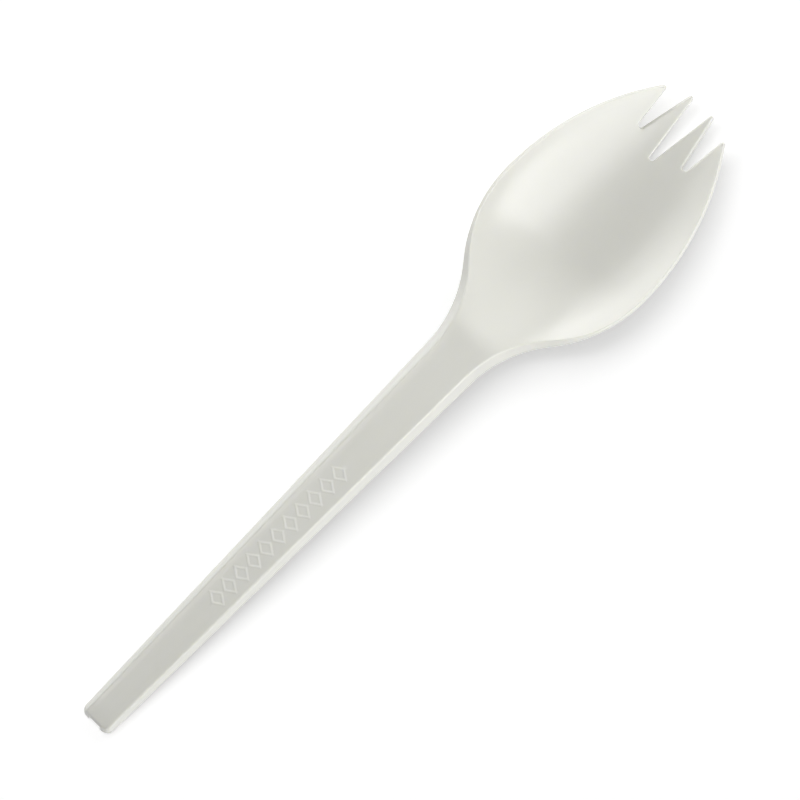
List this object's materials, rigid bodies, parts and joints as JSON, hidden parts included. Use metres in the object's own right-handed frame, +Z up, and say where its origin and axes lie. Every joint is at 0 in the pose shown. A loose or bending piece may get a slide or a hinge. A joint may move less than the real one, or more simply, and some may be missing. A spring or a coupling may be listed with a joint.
{
  "type": "spork",
  "caption": "Disposable spork moulded in one piece: a shallow bowl with short tines at its front, and a long handle that is a channel open below.",
  "frame": {"origin": "on the surface that the spork lies on, under the middle of its length and width", "axes": "+X along the handle towards the tines, +Y across the bowl, +Z up out of the bowl"},
  "size_m": [0.155, 0.0344, 0.0083],
  "materials": {
    "moulded_plastic": "satin off-white filled bioplastic, as moulded"
  },
  "bodies": {
    "root": {"spork": "moulded_plastic"}
  },
  "joints": []
}
